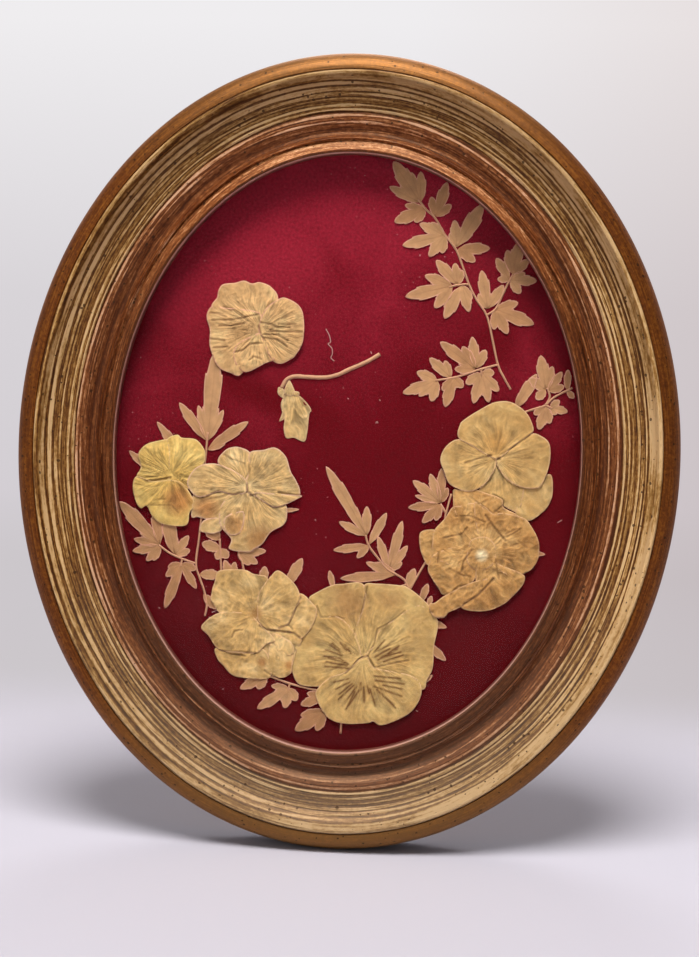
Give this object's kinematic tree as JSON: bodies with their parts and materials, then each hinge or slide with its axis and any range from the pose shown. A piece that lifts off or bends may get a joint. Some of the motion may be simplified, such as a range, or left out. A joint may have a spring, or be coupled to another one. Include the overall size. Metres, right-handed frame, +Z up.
{
  "type": "framed dried flower arrangement",
  "caption": "Oval turned-wood wall frame with pressed pansies and leaf sprigs on red velvet under flat glass, hung by a ring.",
  "frame": {"origin": "middle of the whole object, front to back, side to side and top to bottom", "axes": "+Z up, -Y out of the picture towards the viewer, +X to the viewer's right"},
  "size_m": [0.2716, 0.0298, 0.3256],
  "materials": {
    "frame_wood": "antiqued cream and bronze paint over brown, waxed",
    "pane_glass": "clear float glass",
    "velvet": "dark red short pile",
    "mount_card": "matt",
    "backing_hardboard": "raw pressed fibre board",
    "button_brass": "aged satin",
    "screw_steel": "dull",
    "hanger_brass": "aged satin",
    "bumper_felt": "pressed felt",
    "petal_tan": "dry, wrinkled",
    "petal_yellow": "dry, wrinkled",
    "petal_pale": "dry, wrinkled",
    "leaf_dry": "dry, matt"
  },
  "bodies": {
    "frame": {"frame_moulding": "frame_wood", "front_glass": "pane_glass", "velvet_sheet": "velvet", "mount_board": "mount_card", "backing_board": "backing_hardboard", "button_screw_upper_left": "screw_steel", "button_screw_upper_right": "screw_steel", "button_screw_lower_right": "screw_steel", "button_screw_lower_left": "screw_steel", "strap_hanger": "hanger_brass", "strap_screw": "screw_steel", "felt_bumper_right": "bumper_felt", "felt_bumper_left": "bumper_felt", "sprig_upper_right": "leaf_dry", "sprig_right_edge": "leaf_dry", "sprig_left": "leaf_dry", "sprig_behind_cluster": "leaf_dry", "sprig_middle": "leaf_dry", "sprig_bottom": "leaf_dry", "sprig_lower_right": "leaf_dry", "pansy_upper_left": "petal_tan", "pansy_yellow": "petal_yellow", "pansy_pale": "petal_pale", "flower_pale_cluster": "petal_pale", "pansy_veined": "petal_tan", "flower_crumpled": "petal_tan", "pansy_yellowish": "petal_yellow", "bud_on_stalk": "petal_pale"},
    "button_upper_left": {"turn_button_upper_left": "button_brass"},
    "button_upper_right": {"turn_button_upper_right": "button_brass"},
    "button_lower_right": {"turn_button_lower_right": "button_brass"},
    "button_lower_left": {"turn_button_lower_left": "button_brass"},
    "ring": {"d_ring": "hanger_brass"}
  },
  "joints": [
    {"name": "upper_left_button_swivel", "type": "hinge", "parent": "frame", "child": "button_upper_left", "pos_m": [0.08059, 0.01085, 0.08498], "axis": [0, 1, 0], "range_deg": [-90, 90]},
    {"name": "upper_right_button_swivel", "type": "hinge", "parent": "frame", "child": "button_upper_right", "pos_m": [-0.08059, 0.01085, 0.08498], "axis": [0, 1, 0], "range_deg": [-90, 90]},
    {"name": "lower_right_button_swivel", "type": "hinge", "parent": "frame", "child": "button_lower_right", "pos_m": [-0.08059, 0.01085, -0.08498], "axis": [0, 1, 0], "range_deg": [-90, 90]},
    {"name": "lower_left_button_swivel", "type": "hinge", "parent": "frame", "child": "button_lower_left", "pos_m": [0.08059, 0.01085, -0.08498], "axis": [0, 1, 0], "range_deg": [-90, 90]},
    {"name": "ring_swing", "type": "hinge", "parent": "frame", "child": "ring", "pos_m": [0, 0.01265, 0.1502], "axis": [1, 0, 0], "range_deg": [0, 180]}
  ]
}
